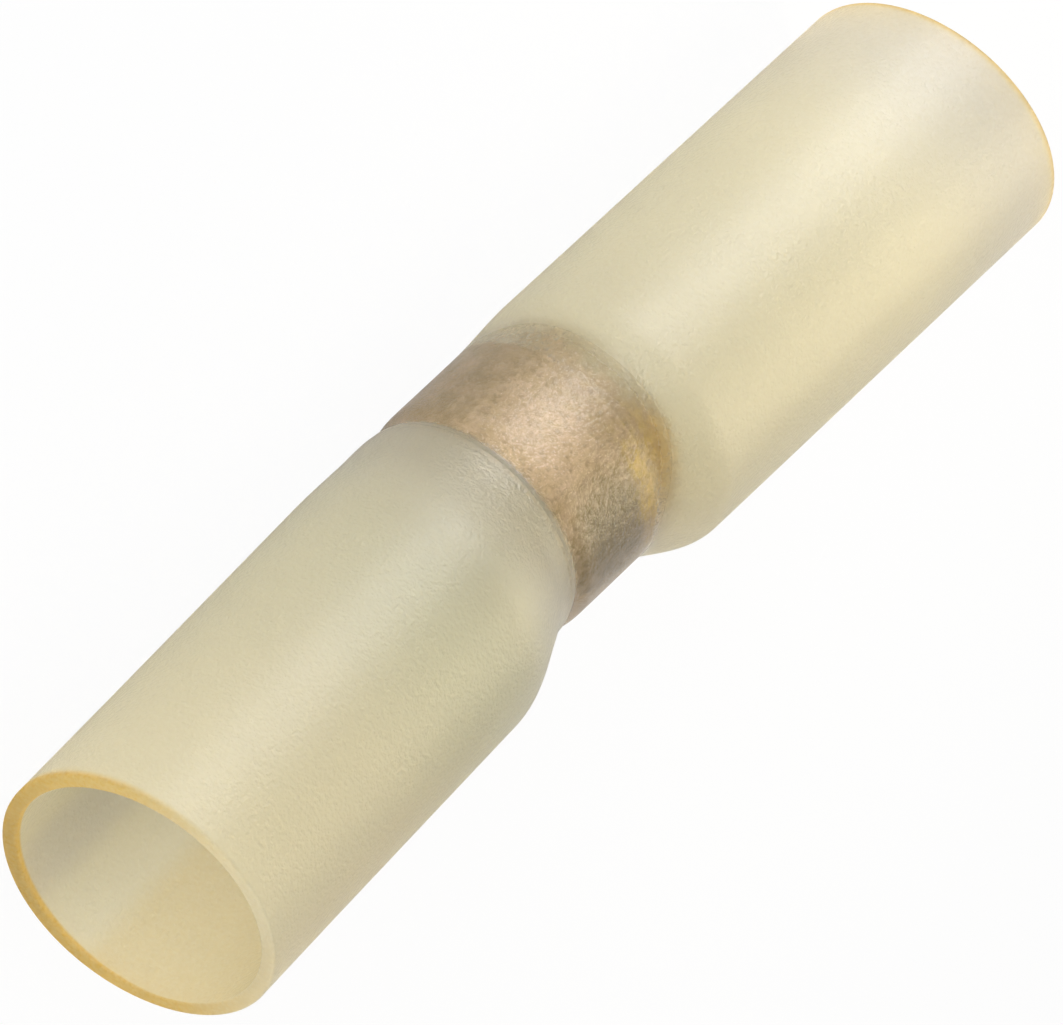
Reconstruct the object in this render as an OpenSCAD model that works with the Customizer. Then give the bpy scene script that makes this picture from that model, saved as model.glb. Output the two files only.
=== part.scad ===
// A splice connector that solders and seals two wires: a heat-shrink sleeve with a gripping waist,
// a short metal ferrule inside the waist, and a ring of solder inside the ferrule.
// Millimetres. The origin is the middle of the ferrule's bore. +X runs along the bore towards the
// near mouth. The sleeve lies on its flush side, so the step down to the waist is deepest on top.

/* [Ferrule] */
// Outside diameter of the ferrule
ferrule_d = 7.22; // [6:0.02:8.4]
// Length of the ferrule
ferrule_len = 5.8; // [4.4:0.1:7.4]
// Thickness of the ferrule's metal
ferrule_wall = 0.5; // [0.3:0.05:0.8]
// Width of the small chamfer on each edge of the ferrule
ferrule_chamfer = 0.1; // [0.05:0.01:0.14]

/* [Solder ring] */
// Length of the solder ring
solder_len = 3.8; // [2:0.1:4.3]
// Thickness of the solder ring
solder_wall = 0.4; // [0.2:0.05:0.8]
// Width of the bevel at each end of the solder ring's bore
solder_bevel = 0.15; // [0.05:0.01:0.19]

/* [Sleeve] */
// How much wider the sleeve's open ends are than its waist
step_depth = 1.12; // [0.8:0.02:2]
// Thickness of the wall in the open ends
wall = 0.5; // [0.35:0.05:0.54]
// Thickness of the wall in the waist and its shoulders, where it has shrunk
waist_wall = 0.56; // [0.55:0.01:0.7]
// Distance from the middle of the ferrule to the middle of the near mouth
near_len = 21.9; // [16:0.1:30]
// Distance from the middle of the ferrule to the middle of the far mouth
far_len = 20.5; // [12:0.1:30]
// How far the near end leans up from the waist, in degrees
near_lean = 2.8; // [0.5:0.1:5]
// How far the far end leans up from the waist, in degrees
far_lean = 0.5; // [0.3:0.1:5]
// Depth of the flat that the sleeve has along its underside
flat_depth = 0.05; // [0.02:0.01:0.1]

/* [Waist] */
// Length along the sleeve of the near shoulder, where it steps down to the waist
near_shoulder = 3.7; // [2:0.1:6]
// Length along the sleeve of the far shoulder
far_shoulder = 2.2; // [1:0.1:5]
// Length of the narrow neck beside the ferrule's near edge
neck_len = 0.6; // [0.2:0.05:2]
// How much narrower the neck's radius is than the waist's
neck_pinch = 0.06; // [0.02:0.01:0.2]
// Length of the ferrule at its far end that the sleeve stands clear of
far_lift = 1.9; // [0.5:0.05:2.2]
// How far the sleeve's underside stands below the waist's
flush_step = 0.03; // [0.02:0.01:0.1]
// Length over which the wall thins from a shoulder to the open end
wall_taper = 0.6; // [0.2:0.1:2]

/* [End cuts] */
// Slant of the near mouth's cut, in degrees
near_cut = 5; // [0:0.1:15]
// Slant of the far mouth's cut, in degrees
far_cut = 5; // [0:0.1:15]
// Direction in which both cuts slant, in degrees round the sleeve
cut_roll = -137; // [-180:1:180]

/* [Fit] */
// Gap all round between the sleeve and the ferrule
grip_gap = 0.02; // [0.01:0.01:0.05]
// Gap all round between the ferrule and the solder ring
solder_gap = 0.02; // [0.01:0.01:0.05]

/* [Hidden] */
$fn = 96;
// Points in each shoulder's curve
shoulder_steps = 8;
// Height by which each shoulder's curve runs past the sleeve's top, so that the two cross cleanly
shoulder_margin = 0.1;

ferrule_r = ferrule_d / 2;
ferrule_bore_r = ferrule_r - ferrule_wall;
solder_r = ferrule_bore_r - solder_gap;
solder_bore_r = solder_r - solder_wall;
waist_r = ferrule_r + grip_gap + waist_wall;
neck_r = waist_r - neck_pinch;
sleeve_r = waist_r + step_depth / 2;

// Height of the sleeve's own middle where it leans up from the waist
sleeve_z = sleeve_r - waist_r - flush_step;
// Height of the sleeve's lowest line
under_z = sleeve_z - sleeve_r;

// Distances from the ferrule's middle along X, on the near side and on the far side
neck_x = ferrule_len / 2 + grip_gap;
neck_flat_x = neck_x + neck_len / 3;
near_grip_x = neck_x + neck_len;
far_grip_x = ferrule_len / 2 - far_lift;
near_bend_x = near_grip_x;
far_bend_x = ferrule_len / 2;
near_bore_x = near_grip_x + near_shoulder + wall_taper;
far_bore_x = max(far_grip_x + far_shoulder, far_bend_x) + wall_taper;

// A slope from 0 to 1 that starts level and ends steep
function flare(u) = u * u * (3 - u) / 2;
// The outline of a shoulder that starts at distance x1 and radius r1, as points of radius and distance
function shoulder_line(x1, length, lean, r1, inset) =
    let (rise = sleeve_z + sleeve_r + length * tan(lean) + shoulder_margin - r1)
    [for (i = [0 : shoulder_steps])
        let (u = i / shoulder_steps)
        [r1 - inset + rise * flare(u), x1 + length * u]];
// The waist's outline on each side, from the ferrule's middle to the end of the shoulder
function near_line(inset) = concat(
    [[waist_r - inset, 0], [waist_r - inset, neck_x], [neck_r - inset, neck_flat_x]],
    shoulder_line(near_grip_x, near_shoulder, near_lean, neck_r, inset));
function far_line(inset) = concat(
    [[waist_r - inset, 0]],
    shoulder_line(far_grip_x, far_shoulder, far_lean, waist_r, inset));

// What the waist leaves of one side of the sleeve, round about the waist's middle
module waist_form(line, reach) {
    wide = 2 * sleeve_r;
    last = line[len(line) - 1];
    rotate_extrude() polygon(concat([[0, 0]], line, [
        [wide, last[1] + wide - last[0]], [wide, reach], [0, reach],
    ]));
}

// A straight side of the sleeve about its own leaning axis, which crosses the waist's middle plane
module leaning_side(line, bend_x, lean) {
    top = line[len(line) - 1][1];
    translate([-sleeve_z, 0, bend_x]) rotate([0, -lean, 0])
        rotate_extrude() polygon(concat([[0, line[0][1]]], line, [[0, top]]));
}

// The solid outside of one side of the sleeve, along +Z and running past its mouth
module side_outside(waist_line, bend_x, length, lean) {
    line = [[sleeve_r, -2 * bend_x], [sleeve_r, length - bend_x + sleeve_r]];
    intersection() {
        waist_form(waist_line, 2 * length);
        leaning_side(line, bend_x, lean);
    }
}

// The hollow of one side, which widens a little where the wall thins at bore_x
module side_hollow(waist_line, bend_x, bore_x, length, lean) {
    line = [
        [sleeve_r - waist_wall, -2 * bend_x], [sleeve_r - waist_wall, bore_x - wall_taper - bend_x],
        [sleeve_r - wall, bore_x - bend_x], [sleeve_r - wall, length - bend_x + 2 * sleeve_r],
    ];
    intersection() {
        waist_form(waist_line, 2 * length);
        leaning_side(line, bend_x, lean);
    }
}

module sleeve_outside() {
    rotate([0, 90, 0]) side_outside(near_line(0), near_bend_x, near_len, near_lean);
    mirror([1, 0, 0]) rotate([0, 90, 0])
        side_outside(far_line(0), far_bend_x, far_len, far_lean);
}

module sleeve_hollow() {
    rotate([0, 90, 0])
        side_hollow(near_line(waist_wall), near_bend_x, near_bore_x, near_len, near_lean);
    mirror([1, 0, 0]) rotate([0, 90, 0])
        side_hollow(far_line(waist_wall), far_bend_x, far_bore_x, far_len, far_lean);
}

// What a knife takes off past a mouth's middle, which lies on the leaning end's own axis
module mouth_cut(side, bend_x, length, lean, slant) {
    size = 8 * sleeve_r;
    translate([side * bend_x, 0, sleeve_z]) rotate([0, -side * lean, 0])
        translate([side * (length - bend_x), 0, 0]) rotate([cut_roll, 0, 0]) rotate([0, 0, -slant])
            translate([side * size / 2, 0, 0]) cube(size, center = true);
}

// What is missing under the flat that the sleeve lies on
module flat_cut() {
    size = 4 * (near_len + far_len);
    translate([0, 0, under_z + flat_depth - size / 2]) cube(size, center = true);
}

module shrink_sleeve() {
    color("khaki", 0.6) difference() {
        sleeve_outside();
        sleeve_hollow();
        mouth_cut(1, near_bend_x, near_len, near_lean, near_cut);
        mouth_cut(-1, far_bend_x, far_len, far_lean, far_cut);
        flat_cut();
    }
}

module splice_ferrule() {
    c = ferrule_chamfer;
    half = ferrule_len / 2;
    color("tan") rotate([0, 90, 0]) rotate_extrude() polygon([
        [ferrule_bore_r, c - half], [ferrule_bore_r + c, -half],
        [ferrule_r - c, -half], [ferrule_r, c - half],
        [ferrule_r, half - c], [ferrule_r - c, half],
        [ferrule_bore_r + c, half], [ferrule_bore_r, half - c],
    ]);
}

module solder_ring() {
    b = solder_bevel;
    half = solder_len / 2;
    color("silver") rotate([0, 90, 0]) rotate_extrude() polygon([
        [solder_bore_r, b - half], [solder_bore_r + b, -half],
        [solder_r, -half], [solder_r, half],
        [solder_bore_r + b, half], [solder_bore_r, half - b],
    ]);
}

shrink_sleeve();
splice_ferrule();
solder_ring();
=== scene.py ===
import math

import bpy
from mathutils import Matrix, Vector


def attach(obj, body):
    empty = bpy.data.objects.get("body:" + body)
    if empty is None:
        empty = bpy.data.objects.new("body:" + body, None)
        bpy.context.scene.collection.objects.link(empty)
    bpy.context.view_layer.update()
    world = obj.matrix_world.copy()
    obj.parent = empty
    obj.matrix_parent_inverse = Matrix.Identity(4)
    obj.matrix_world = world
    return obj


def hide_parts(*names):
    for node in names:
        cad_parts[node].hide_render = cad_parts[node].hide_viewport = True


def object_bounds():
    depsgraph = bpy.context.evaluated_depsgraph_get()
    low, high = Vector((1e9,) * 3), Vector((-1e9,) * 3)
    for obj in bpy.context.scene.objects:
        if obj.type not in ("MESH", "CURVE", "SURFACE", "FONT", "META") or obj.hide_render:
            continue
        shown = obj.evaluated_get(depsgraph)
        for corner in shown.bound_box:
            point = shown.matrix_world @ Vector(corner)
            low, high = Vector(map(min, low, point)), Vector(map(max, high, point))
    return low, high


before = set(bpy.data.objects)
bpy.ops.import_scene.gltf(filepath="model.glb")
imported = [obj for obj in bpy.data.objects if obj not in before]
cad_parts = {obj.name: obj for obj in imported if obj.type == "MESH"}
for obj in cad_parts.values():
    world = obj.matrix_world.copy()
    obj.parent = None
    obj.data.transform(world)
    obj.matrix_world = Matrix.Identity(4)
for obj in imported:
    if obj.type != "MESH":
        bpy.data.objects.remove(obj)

mm = 0.001                                           # the sizes below are in millimetres
mergeGap = 0.0004                                    # points nearer than this become one
leastTurn = 1e-9                                     # degrees
cadBox = [list(corner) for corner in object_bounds()]


# modelling, as by hand
def startFresh():
    if bpy.context.object and bpy.context.object.mode != "OBJECT":
        bpy.ops.object.mode_set(mode="OBJECT")
    bpy.ops.object.select_all(action="DESELECT")     # the CAD nodes come in selected


def ease(amount):
    amount = min(max(amount, 0.0), 1.0)
    return amount * amount * (3 - 2 * amount)


def between(value, limits, soft):                    # 1 between the limits, fading to 0 at each
    return ease((value - limits[0]) / soft) * ease((limits[1] - value) / soft)


def mixOf(first, second, share):
    return first + (second - first) * share


def sweepRings(name, rings, sides):
    # each ring is (x, z, radius, lean): the last one lies on the first, so that the skin closes
    startFresh()
    x, z, radius, lean = rings[0]
    bpy.ops.mesh.primitive_circle_add(vertices=sides, radius=radius * mm, location=(x * mm, 0, z * mm),
                                      rotation=(0, math.radians(90 - lean), 0))
    piece = bpy.context.object
    piece.name = name
    bpy.ops.object.transform_apply(location=True, rotation=True, scale=True)
    bpy.ops.object.mode_set(mode="EDIT")
    bpy.ops.mesh.select_all(action="SELECT")
    for last, here in zip(rings, rings[1:]):
        middle = (here[0] * mm, 0, here[1] * mm)
        step = ((here[0] - last[0]) * mm, 0, (here[1] - last[1]) * mm)
        bpy.ops.mesh.extrude_edges_move(TRANSFORM_OT_translate={"value": step})
        grow = here[2] / last[2]
        bpy.ops.transform.resize(value=(grow, grow, grow), center_override=middle)
        turn = here[3] - last[3]
        if abs(turn) > leastTurn:
            bpy.ops.transform.rotate(value=math.radians(turn), orient_axis="Y", center_override=middle)
    bpy.ops.mesh.select_all(action="SELECT")
    bpy.ops.mesh.remove_doubles(threshold=mergeGap * mm)
    bpy.ops.mesh.normals_make_consistent(inside=False)
    bpy.ops.object.mode_set(mode="OBJECT")
    return piece


def moveVertices(piece, rule):
    for vertex in piece.data.vertices:
        vertex.co = rule(vertex.co / mm) * mm
    piece.data.update()


def smoothPiece(piece, angle):
    startFresh()
    piece.select_set(True)
    bpy.context.view_layer.objects.active = piece
    bpy.ops.object.shade_smooth_by_angle(angle=math.radians(angle))


# shader nodes
class Wire:                                          # a socket that can be used in sums
    def __init__(self, paint, socket):
        self.paint = paint
        self.socket = socket

    def sum(self, operation, *values):
        return self.paint.add("Math", {"operation": operation}, dict(enumerate(values)))

    def __add__(self, other):
        return self.sum("ADD", self, other)

    def __radd__(self, other):
        return self.sum("ADD", other, self)

    def __sub__(self, other):
        return self.sum("SUBTRACT", self, other)

    def __rsub__(self, other):
        return self.sum("SUBTRACT", other, self)

    def __mul__(self, other):
        return self.sum("MULTIPLY", self, other)

    def __rmul__(self, other):
        return self.sum("MULTIPLY", other, self)

    def __truediv__(self, other):
        return self.sum("DIVIDE", self, other)

    def __pow__(self, other):
        return self.sum("POWER", self, other)


class Paint:                                         # one material and its nodes
    def __init__(self, name, holder=None):
        self.material = holder or bpy.data.materials.new(name)
        self.material.use_nodes = True
        self.tree = self.material.node_tree
        self.tree.nodes.clear()

    def add(self, kind, settings=None, sockets=None, out=0):
        node = self.tree.nodes.new("ShaderNode" + kind)
        for key, value in (settings or {}).items():
            setattr(node, key, value)
        for key, value in (sockets or {}).items():
            if isinstance(value, Wire):
                self.tree.links.new(value.socket, node.inputs[key])
            else:
                node.inputs[key].default_value = value
        return Wire(self, node.outputs[out])

    def place(self):                                 # where the surface is, in millimetres
        spot = self.add("TexCoord", out="Object")
        return self.add("Mapping", {}, {"Vector": spot, "Scale": (1 / mm, 1 / mm, 1 / mm)})

    def split(self, spot):
        node = self.add("SeparateXYZ", {}, {0: spot}).socket.node
        return [Wire(self, output) for output in node.outputs]

    def turn(self, y, z):                            # the angle round the bore, 0 at the front
        return self.add("Math", {"operation": "ARCTAN2"}, {0: z, 1: 0 - y})

    def noise(self, spot, scale, detail, rough):
        return self.add("TexNoise", {}, {
            "Vector": spot, "Scale": scale, "Detail": detail, "Roughness": rough})

    def fade(self, value, low, high, toLow=0.0, toHigh=1.0):
        return self.add("MapRange", {"interpolation_type": "SMOOTHSTEP"},
                        {"Value": value, "From Min": low, "From Max": high,
                         "To Min": toLow, "To Max": toHigh})

    def blend(self, share, first, second):
        return self.add("Mix", {"data_type": "RGBA"}, {0: share, 6: first, 7: second}, out=2)

    def mark(self, name):                            # a number stored on the piece's points
        return self.add("Attribute", {"attribute_name": name}, out="Fac")

    def bump(self, height, strength, depth):
        return self.add("Bump", {}, {"Height": height, "Strength": strength, "Distance": depth * mm})

    def mixed(self, share, first, second):
        return self.add("MixShader", {}, {0: share, 1: first, 2: second})

    def finish(self, shader, kind="ShaderNodeOutputMaterial"):
        self.tree.links.new(shader.socket, self.tree.nodes.new(kind).inputs["Surface"])
        return self.material


def shade(red, green, blue):                         # a colour as a picture editor gives it, 0 to 255
    def plain(part):
        part = part / 255
        return part / 12.92 if part <= 0.04045 else ((part + 0.055) / 1.055) ** 2.4
    return (plain(red), plain(green), plain(blue), 1.0)


# the camera looks along the sleeve from above its near mouth
cameraLook = {
    "azimuth": 42.28, "elevation": 30.0,             # degrees
    "axisTilt": 43.468,                              # the sleeve's slope in the picture, degrees
    "distance": 434.68, "lens": 475.3, "sensor": 36.0,
    "aimRight": -0.105, "aimUp": -1.343, "aimX": -0.27,
    "clip": (0.01, 10.0),                            # metres
}


def cameraBasis():
    azimuth = math.radians(cameraLook["azimuth"])
    elevation = math.radians(cameraLook["elevation"])
    tilt = math.radians(cameraLook["axisTilt"])
    towards = Vector((math.sin(azimuth) * math.cos(elevation), -math.cos(azimuth) * math.cos(elevation),
                      math.sin(elevation)))
    along = Vector((-1, 0, 0))
    along = (along - towards * along.dot(towards)).normalized()
    across = towards.cross(along)
    right = math.cos(tilt) * along - math.sin(tilt) * across
    up = math.sin(tilt) * along + math.cos(tilt) * across
    return right, up, towards


def makeCamera():
    startFresh()
    right, up, towards = cameraBasis()
    aim = Vector((cameraLook["aimX"], 0, 0)) + cameraLook["aimRight"] * right + cameraLook["aimUp"] * up
    bpy.ops.object.camera_add(location=(aim + towards * cameraLook["distance"]) * mm)
    camera = bpy.context.object
    turn = [[right[i], up[i], towards[i]] for i in range(3)]
    camera.rotation_euler = Matrix(turn).to_euler()
    camera.data.lens = cameraLook["lens"]
    camera.data.sensor_width = cameraLook["sensor"]
    camera.data.clip_start, camera.data.clip_end = cameraLook["clip"]
    bpy.context.scene.camera = camera


makeCamera()
print("camera placed")

# the shrink sleeve
sleeve = {
    "waistRadius": 4.19, "endRadius": 4.75,
    "waistWall": 0.56, "endWall": 0.5, "wallFade": 1.5,
    "flush": 0.02,                                   # the underside's drop from waist to open ends
    "nearShoulder": (3.54, 7.59), "farShoulder": (0.99, 3.45),
    "neckAt": 3.15, "neckHalf": 0.4, "neckDepth": 0.14,
    "creaseAt": 3.42, "creaseHalf": 0.07, "creaseHeight": 0.04,
    "gripRadius": 3.63, "gripEnd": 2.96,             # the bore where it holds the ferrule
    "nearLength": 21.9, "farLength": 20.5,           # to the middles of the mouths
    "nearBend": 3.52, "farBend": 2.9, "nearLean": 2.8, "farLean": 0.5, "leanFade": 1.5,
    "cut": 5.0, "cutRoll": -137.0, "cutReach": 5.0,
    "rimRound": 0.1, "rimSteps": 4, "rimGlow": 0.3, "boreGlow": 0.1,
    "amberAndPaintedGlow": 0.4, "paintedGlowTurns": (90, 222),           # painted glow of light through the wall, in degrees round the near bore's wall
    "paintedPaleLight": 0.8, "paintedReflectionTurns": (238, 278),          # painted reflection: a greyer stripe beside the glow
    "turnSoft": 14, "glowDepth": (4, 14),
    "onBore": 0.01,                                  # points nearer to the bore than this are on it
    "touch": 0.05,                                   # film nearer to the metal than this clings to it
    "flatHeight": -4.17, "sides": 160, "smooth": 60,
    "waistStep": 0.12, "waistSteps": (-32, 70),      # the rings' distances, fine over the waist
    "creaseFrom": 3.12, "creaseSteps": 21, "creaseParts": 4,
    "endStep": 0.9, "farSteps": 18, "nearSteps": 15, "rimRings": (0.15, 0.2, 0.25, 0.3, 0.5),
}


def sleeveSection(x):
    # the outside's middle height, radius and lean at distance x along the sleeve
    s = sleeve
    if x > 0:
        low, high = s["nearShoulder"]
        lean, bend = s["nearLean"], s["nearBend"]
    else:
        low, high = s["farShoulder"]
        lean, bend = s["farLean"], s["farBend"]
    step = ease((abs(x) - low) / (high - low))
    radius = mixOf(s["waistRadius"], s["endRadius"], step)
    middle = radius - s["waistRadius"] - s["flush"] * ease(abs(x) / high)
    radius -= s["neckDepth"] * math.exp(-((x - s["neckAt"]) / s["neckHalf"]) ** 2)
    radius += s["creaseHeight"] * math.exp(-((x - s["creaseAt"]) / s["creaseHalf"]) ** 2)
    past = max(abs(x) - bend, 0.0)
    soft = ease(past / s["leanFade"])
    return middle + past * math.tan(math.radians(lean)) * soft, radius, lean * soft * (1 if x > 0 else -1)


def sleeveBore(x):
    s = sleeve
    middle, radius, lean = sleeveSection(x)
    shoulderEnd = s["nearShoulder"][1] if x > 0 else s["farShoulder"][1]
    wall = mixOf(s["waistWall"], s["endWall"], ease((abs(x) - shoulderEnd) / s["wallFade"]))
    bore = radius - wall
    if abs(x) < s["gripEnd"]:
        bore = max(bore, s["gripRadius"])
    return middle, bore, lean


def sleeveStations(near, far):
    s = sleeve
    creaseStep = s["waistStep"] / s["creaseParts"]
    waist = [s["waistStep"] * i for i in range(*s["waistSteps"])]
    crease = [s["creaseFrom"] + creaseStep * i for i in range(s["creaseSteps"]) if i % s["creaseParts"]]
    ends = [far + s["endStep"] * (i + 1) for i in range(s["farSteps"])]
    ends += [near - s["endStep"] * (i + 1) for i in range(s["nearSteps"])]
    rims = [far + step for step in s["rimRings"]] + [near - step for step in s["rimRings"]]
    return sorted(waist + crease + ends + rims)


def rimRings(end, side):                             # from outside to inside, round both corners
    s = sleeve
    rings = []
    middle, outer, lean = sleeveSection(end)
    bore = sleeveBore(end)[1]
    r = s["rimRound"]
    for corner, start in ((outer - r, 0), (bore + r, 90)):
        for i in range(s["rimSteps"] + 1):
            angle = math.radians(start + 90 * i / s["rimSteps"])
            rings.append((end - side * r * (1 - math.sin(angle)), middle,
                          corner + r * math.cos(angle), lean))
    return rings


def sleeveRings():
    near, far = sleeve["nearLength"], -sleeve["farLength"]
    stations = sleeveStations(near, far)
    outside = [(x,) + sleeveSection(x) for x in stations]
    inside = [(x,) + sleeveBore(x) for x in stations]
    rings = outside + rimRings(near, 1) + inside[::-1] + rimRings(far, -1)[::-1]
    return rings + [rings[0]]


def sleeveMarks(spot):
    # how amber the film is here, 1 on the mouths' cut faces and a painted glow inside the near bore; how
    # pale its painted reflection stripe is, beside that glow; and whether it clings to the ferrule
    s = sleeve
    end = s["nearLength"] if spot.x > 0 else s["farLength"]
    gap = math.hypot(spot.y, spot.z) - ferrule["radius"]
    clings = gap < s["touch"] and abs(spot.x) < ferrule["length"] / 2
    middle, bore, lean = sleeveBore(spot.x)
    height = spot.z - middle
    glow, amberAndPaintedGlow, paintedPaleLight = s["rimGlow"], 0.0, 0.0
    if math.hypot(spot.y, height) < bore + s["onBore"]:
        turn = math.degrees(math.atan2(height, -spot.y)) % 360
        low, high = s["glowDepth"]
        deep = ease((spot.x - low) / (high - low))
        amberAndPaintedGlow = s["amberAndPaintedGlow"] * deep * between(turn, s["paintedGlowTurns"], s["turnSoft"])
        paintedPaleLight = s["paintedPaleLight"] * deep * between(turn, s["paintedReflectionTurns"], s["turnSoft"])
        glow = s["boreGlow"]
    return max(ease((abs(spot.x) - end) / glow + 1), amberAndPaintedGlow), paintedPaleLight, clings


def makeSleeve():
    s = sleeve
    piece = sweepRings("shrinkSleeve", sleeveRings(), s["sides"])
    roll = math.radians(s["cutRoll"])
    slant = math.tan(math.radians(s["cut"]))
    slantWay = Vector((0, math.cos(roll), math.sin(roll)))

    def cutAndSettle(spot):
        end = s["nearLength"] if spot.x > 0 else s["farLength"]
        share = min(max((abs(spot.x) - end + s["cutReach"]) / s["cutReach"], 0), 1)
        middle = sleeveSection(spot.x)[0]
        away = Vector((0, spot.y, spot.z - middle)).dot(slantWay)
        moved = spot + Vector((slant * away * share, 0, 0))
        if spot.z < s["flatHeight"]:
            moved.z = s["flatHeight"]                # the flat that it lies on
        return moved

    marks = [sleeveMarks(vertex.co / mm) for vertex in piece.data.vertices]
    for column, name in enumerate(("rimAndPaintedGlow", "paintedPaleLight")):
        mark = piece.data.attributes.new(name, "FLOAT", "POINT")
        mark.data.foreach_set("value", [row[column] for row in marks])
    for face in piece.data.polygons:                 # the bore's faces that cling to the metal
        face.material_index = int(all(marks[i][2] for i in face.vertices))
    moveVertices(piece, cutAndSettle)
    smoothPiece(piece, s["smooth"])
    return piece


# the ferrule and the solder inside it
ferrule = {"radius": 3.61, "bore": 3.11, "length": 5.8, "edge": 0.1, "steps": 4, "sides": 160, "smooth": 40}
solder = {"radius": 3.09, "bore": 2.69, "length": 3.8, "edge": 0.12, "steps": 4, "sides": 128, "smooth": 40}


def makeRing(name, sizes):
    half, edge = sizes["length"] / 2, sizes["edge"]
    outer, inner = sizes["radius"], sizes["bore"]
    corners = ((half - edge, outer - edge, 0), (half - edge, inner + edge, 90),
               (edge - half, inner + edge, 180), (edge - half, outer - edge, 270))
    rings = []
    for x, radius, start in corners:
        for i in range(sizes["steps"] + 1):
            angle = math.radians(start + 90 * i / sizes["steps"])
            rings.append((x + edge * math.sin(angle), 0.0, radius + edge * math.cos(angle), 0.0))
    piece = sweepRings(name, rings + [rings[0]], sizes["sides"])
    smoothPiece(piece, sizes["smooth"])
    return piece


sleevePiece = makeSleeve()
ferrulePiece = makeRing("spliceFerrule", ferrule)
solderPiece = makeRing("solderRing", solder)
print("pieces modelled")


# finishes
filmLook = {
    "tint": shade(249, 245, 230), "cloudTint": shade(246, 240, 220),
    # the rim's colours also give the painted glow inside the near bore
    "rimTint": shade(250, 232, 182), "rimMilk": shade(240, 216, 152), "rimShare": 0.5,
    "milkTint": shade(240, 234, 206), "frontShare": 0.5,
    "endTint": shade(238, 238, 238), "endMilk": shade(224, 218, 206),
    "endFade": (13.0, 20.5), "endShare": 0.7,        # painted light: the far end is painted paler, where light comes through its open end
    # painted shade on the near shoulder: its colour, its fade with height, and where along it starts and
    # ends
    "shoulderShade": shade(221, 223, 203), "shadeUp": (-1.0, 4.0, 0.25, 1.0),
    "shadeFrom": (4.0, 9.0), "shadeTo": (9.0, 16.0),
    "nearFrost": (2.9, 3.4), "shoulderFade": (3.4, 10.0), "shoulderFree": 0.35,
    "farFrost": 1.9, "farFade": 0.8, "farBow": 1.0, "bowTurn": 25.0, "bowPower": 4,
    "gripMilk": 0.04, "freeMilk": 0.34, "gripRough": 0.24, "freeRough": 0.42,
    "gripGloss": 0.3, "freeGloss": 0.85, "glossRough": 0.4, "index": 1.5,
    # noises: how many a mm, detail, roughness
    "cloudNoise": (0.16, 1.0, 0.5), "grainNoise": (7.0, 1.5, 0.6),
    "grainShare": 0.9, "grainDepth": 0.06,
}


def sleeveFilm():
    look = filmLook
    paint = Paint("frostedYellowFilm")
    spot = paint.place()
    x, y, z = paint.split(spot)
    cloud = paint.noise(spot, *look["cloudNoise"])
    grain = paint.noise(spot, *look["grainNoise"])
    rimAndPaintedGlow = paint.mark("rimAndPaintedGlow")
    nearFree = paint.fade(x, *look["nearFrost"], 0.0, look["shoulderFree"])
    nearFree = nearFree + paint.fade(x, *look["shoulderFade"], 0.0, 1 - look["shoulderFree"])
    turn = paint.turn(y, z) - math.radians(look["bowTurn"])
    bow = paint.add("Math", {"operation": "SINE"}, {0: turn}) ** look["bowPower"]
    farStart = look["farFrost"] - bow * look["farBow"]
    farFree = paint.fade(0 - x - farStart, 0.0, look["farFade"])
    free = nearFree + farFree                        # 0 where the film is clear, 1 where it is milky
    # painted light: paler towards the far open end, and the painted reflection stripe in the near bore
    paintedPaleLight = paint.fade(0 - x, *look["endFade"], 0.0, look["endShare"]) + paint.mark("paintedPaleLight")
    # painted shade on the near shoulder, stronger upwards
    shaded = paint.fade(x, *look["shadeFrom"]) * paint.fade(x, *look["shadeTo"], 1.0, 0.0)
    shaded = shaded * paint.fade(z, *look["shadeUp"])
    tint = paint.blend(cloud, look["tint"], look["cloudTint"])
    tint = paint.blend(paintedPaleLight, tint, look["endTint"])
    tint = paint.blend(shaded, tint, look["shoulderShade"])
    tint = paint.blend(rimAndPaintedGlow, tint, look["rimTint"])
    relief = paint.bump(grain, 1.0, look["grainDepth"])
    clear = paint.add("BsdfPrincipled", {}, {
        "Base Color": tint, "IOR": look["index"], "Transmission Weight": 1.0, "Normal": relief,
        "Roughness": look["gripRough"] + free * (look["freeRough"] - look["gripRough"]),
        "Coat Weight": look["gripGloss"] + free * (look["freeGloss"] - look["gripGloss"]),
        "Coat Roughness": look["glossRough"]})
    back = paint.add("BsdfTranslucent", {}, {"Color": look["milkTint"], "Normal": relief})
    front = paint.add("BsdfDiffuse", {}, {"Color": look["milkTint"], "Normal": relief})
    white = paint.add("BsdfTranslucent", {}, {"Color": look["endMilk"], "Normal": relief})
    amberAndPaintedGlow = paint.add("BsdfTranslucent", {}, {"Color": look["rimMilk"], "Normal": relief})
    cloudy = paint.mixed(look["frontShare"], back, front)
    cloudy = paint.mixed(rimAndPaintedGlow, paint.mixed(paintedPaleLight, cloudy, white), amberAndPaintedGlow)
    share = look["gripMilk"] + free * (look["freeMilk"] - look["gripMilk"]) + rimAndPaintedGlow * look["rimShare"]
    share = share * (1 + (grain - 0.5) * look["grainShare"])
    return paint.finish(paint.mixed(share, clear, cloudy))


def clingingFilm():
    paint = Paint("clingingFilm")                    # no gap, so no skin to see between film and metal
    return paint.finish(paint.add("BsdfTransparent", {}, {"Color": (1, 1, 1, 1)}))


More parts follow.
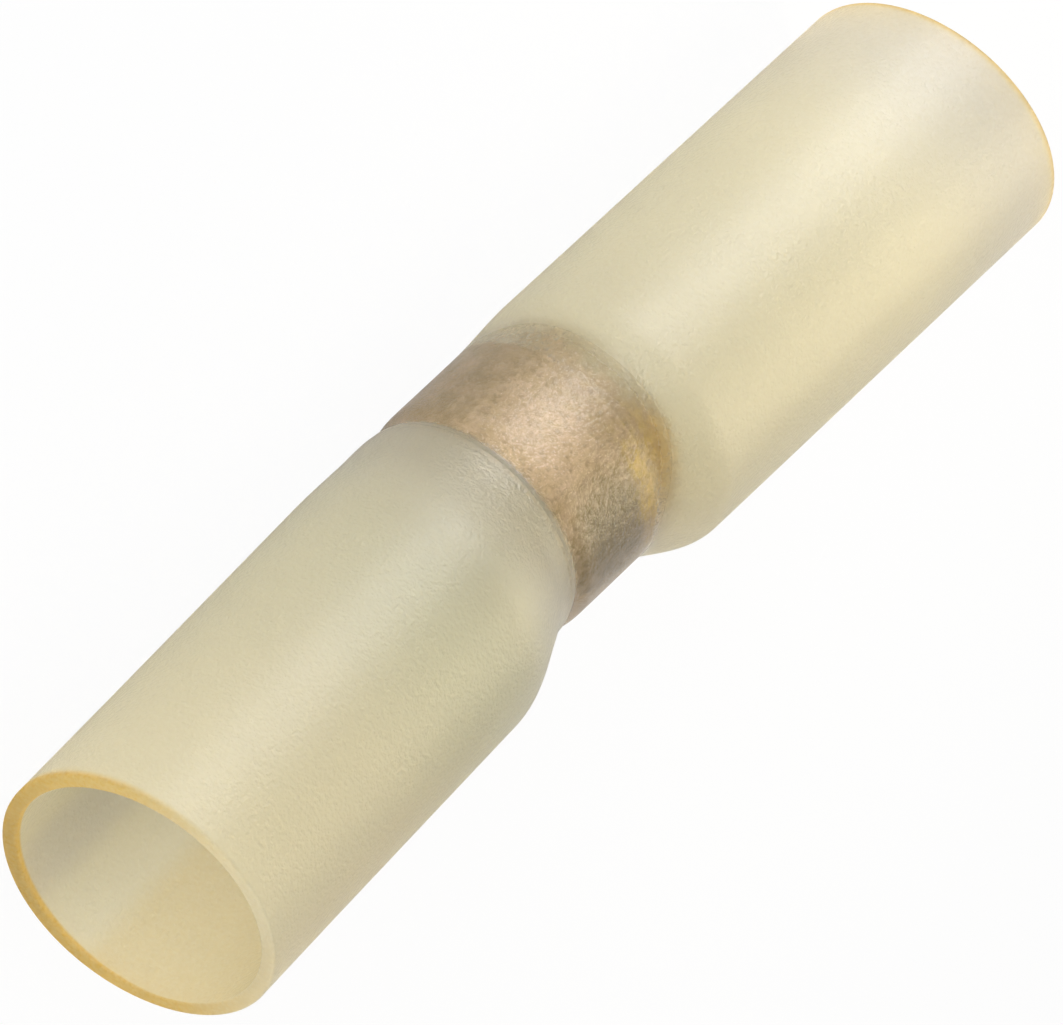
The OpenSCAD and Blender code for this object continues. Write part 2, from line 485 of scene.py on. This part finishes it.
metalLook = {
    "pink": shade(212, 189, 162), "brown": shade(188, 165, 124), "grey": shade(190, 184, 156),
    # dark and pale colour the flecks, and also the painted shade and painted highlight among the patches
    "gold": shade(222, 192, 100), "dark": shade(112, 98, 44), "pale": shade(238, 212, 182),
    # patches: colour, distance along the ferrule in mm, angle round it from the front, half sizes,
    # strength. Stains, with a painted highlight (pale) and painted shade (dark) among them
    "stainsAndPaintedLight": (
        # painted highlight
        ("pale", 1.6, 34, 1.7, 26, 0.45),
        ("brown", -1.4, 40, 1.1, 34, 0.3),
        # painted shade and dark reflection along the ferrule's top
        ("dark", 0.6, 94, 2.3, 30, 0.85),
        ("grey", -2.7, 30, 0.9, 36, 0.8),
        ("gold", -1.9, 86, 1.5, 36, 1.0),
        # painted shade low on the front, towards the floor
        ("dark", -0.6, -14, 4.0, 16, 0.25),
    ),
    "patchEdge": (0.5, 1.25), "speckRagged": 0.9, "blotchRagged": 0.8,
    # noises: how many a mm, detail, roughness
    "blotchNoise": (1.1, 4.0, 0.62), "speckNoise": (3.6, 4.0, 0.6), "fleckNoise": (11.0, 2.0, 0.5),
    # marks: from and to which height of the noise, with which share at each
    "pinkPatches": (0.42, 0.6, 0.0, 1.0), "brownSpecks": (0.5, 0.64, 0.0, 0.4),
    "paleFlecks": (0.5, 0.62, 0.0, 0.3), "darkFlecks": (0.36, 0.48, 0.35, 0.0),
    "metallic": 0.85, "rough": (0.3, 0.7, 0.52, 0.72),
    "relief": 0.6, "reliefDepth": 0.05, "fleckShare": 0.4,
}


def ferruleMetal():
    look = metalLook
    paint = Paint("tinnedCopper")
    spot = paint.place()
    x, y, z = paint.split(spot)
    angle = paint.turn(y, z) * math.degrees(1)
    blotch = paint.noise(spot, *look["blotchNoise"])
    speck = paint.noise(spot, *look["speckNoise"])
    fleck = paint.noise(spot, *look["fleckNoise"])
    patches = paint.fade(blotch * 0.5 + speck * 0.5, *look["pinkPatches"])
    ragged = (speck - 0.5) * look["speckRagged"] + (blotch - 0.5) * look["blotchRagged"]
    tint = paint.blend(patches, look["brown"], look["pink"])
    # stains, the painted highlight and the painted shade, each placed on the ferrule
    for name, along, turn, halfLength, halfTurn, strength in look["stainsAndPaintedLight"]:
        away = (((x - along) / halfLength) ** 2 + ((angle - turn) / halfTurn) ** 2) ** 0.5
        tint = paint.blend(paint.fade(away + ragged, *look["patchEdge"], strength, 0.0), tint, look[name])
    tint = paint.blend(paint.fade(speck, *look["brownSpecks"]), tint, look["brown"])
    tint = paint.blend(paint.fade(fleck, *look["paleFlecks"]), tint, look["pale"])
    tint = paint.blend(paint.fade(fleck, *look["darkFlecks"]), tint, look["dark"])
    height = speck * (1 - look["fleckShare"]) + fleck * look["fleckShare"]
    metal = paint.add("BsdfPrincipled", {}, {
        "Base Color": tint, "Metallic": look["metallic"], "Roughness": paint.fade(speck, *look["rough"]),
        "Normal": paint.bump(height, look["relief"], look["reliefDepth"])})
    return paint.finish(metal)


solderLook = {
    "dark": shade(176, 176, 172), "pale": shade(206, 206, 202), "flowNoise": (0.9, 4.0, 0.6),
    "rough": (0.2, 0.8, 0.3, 0.5), "relief": 0.4, "reliefDepth": 0.06,
}


def solderMetal():
    look = solderLook
    paint = Paint("dullSolder")
    flow = paint.noise(paint.place(), *look["flowNoise"])
    metal = paint.add("BsdfPrincipled", {}, {
        "Base Color": paint.blend(flow, look["dark"], look["pale"]), "Metallic": 1.0,
        "Roughness": paint.fade(flow, *look["rough"]),
        "Normal": paint.bump(flow, look["relief"], look["reliefDepth"])})
    return paint.finish(metal)


# how white the floor is to the camera and in gloss and film: the rest of it takes the shadow
floorLook = {"size": 800, "colour": (0.85, 0.85, 0.85, 1), "seen": 0.94, "mirrored": 0.12}


def floorPaint():
    paint = Paint("paleFloor")
    seen = paint.add("LightPath", out="Is Camera Ray")
    gloss = paint.add("LightPath", out="Is Glossy Ray")
    mirrored = gloss + paint.add("LightPath", out="Is Transmission Ray")
    share = paint.add("Math", {"operation": "MINIMUM"}, {
        0: seen * floorLook["seen"] + mirrored * floorLook["mirrored"], 1: floorLook["seen"]})
    lit = paint.add("BsdfDiffuse", {}, {"Color": floorLook["colour"]})
    plain = paint.add("Emission", {}, {"Color": (1, 1, 1, 1), "Strength": 1.0})
    return paint.finish(paint.mixed(share, lit, plain))


for piece, node, slotName, materials in (
        (sleevePiece, "shrink_sleeve", "sleeve", (sleeveFilm(), clingingFilm())),
        (ferrulePiece, "splice_ferrule", "ferrule", (ferruleMetal(),)),
        (solderPiece, "solder_ring", "solder", (solderMetal(),))):
    for material in materials:
        piece.data.materials.append(material)
    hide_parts(node)
    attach(piece, "root")
print("finishes given")


# floor, lamps and the room's light
def makeFloor():
    startFresh()
    bpy.ops.mesh.primitive_plane_add(size=floorLook["size"] * mm, location=(0, 0, cadBox[0][2]))
    floor = bpy.context.object
    floor.name = "floor"
    floor.data.materials.append(floorPaint())


lamps = {                                            # each faces the ferrule
    "key": {"place": (125.5, -168.7, 64.6), "size": 170, "power": 0.3, "colour": (0.92, 0.96, 1.0)},
    "fill": {"place": (-44.0, -60.0, 16.0), "size": 56, "power": 0.036, "colour": (0.96, 0.96, 1.0)},
    "top": {"place": (-30.0, 8.0, 38.0), "size": 36, "power": 0.0105, "colour": (1.0, 0.88, 0.62)},
    "back": {"place": (56.0, 52.0, 10.0), "size": 50, "power": 0.02, "colour": (1.0, 0.86, 0.66)},
}


def makeLamps():
    for name, lamp in lamps.items():
        startFresh()
        place = Vector(lamp["place"]) * mm
        bpy.ops.object.light_add(type="AREA", location=place)
        light = bpy.context.object
        light.name = name
        light.data.shape = "DISK"
        light.data.size = lamp["size"] * mm
        light.data.energy = lamp["power"]
        light.data.color = lamp["colour"]
        light.rotation_euler = place.to_track_quat("Z", "Y").to_euler()


room = {
    "tint": (0.98, 0.98, 1.0, 1), "light": 0.5,      # what falls on dull surfaces
    "ceiling": 0.5, "fadeHeights": (0.15, 0.6),      # gloss and film see the pale walls, then a dim ceiling
}


def makeRoom():
    world = bpy.data.worlds.new("room")
    bpy.context.scene.world = world
    paint = Paint(world.name, world)
    height = paint.split(paint.add("TexCoord", out="Generated"))[2]
    sky = paint.fade(height, *room["fadeHeights"], 1.0, room["ceiling"])
    mirrored = paint.add("Math", {"operation": "ADD", "use_clamp": True},
                         {0: paint.add("LightPath", out="Is Glossy Ray"),
                          1: paint.add("LightPath", out="Is Transmission Ray")})
    strength = room["light"] + mirrored * (sky - room["light"])
    lit = paint.add("Background", {}, {"Color": room["tint"], "Strength": strength})
    plain = paint.add("Background", {}, {"Color": (1, 1, 1, 1), "Strength": 1.0})
    seen = paint.add("LightPath", out="Is Camera Ray")
    paint.finish(paint.mixed(seen, lit, plain), "ShaderNodeOutputWorld")


makeFloor()
makeLamps()
makeRoom()
bpy.context.scene.view_settings.view_transform = "Standard"
print("room lit")
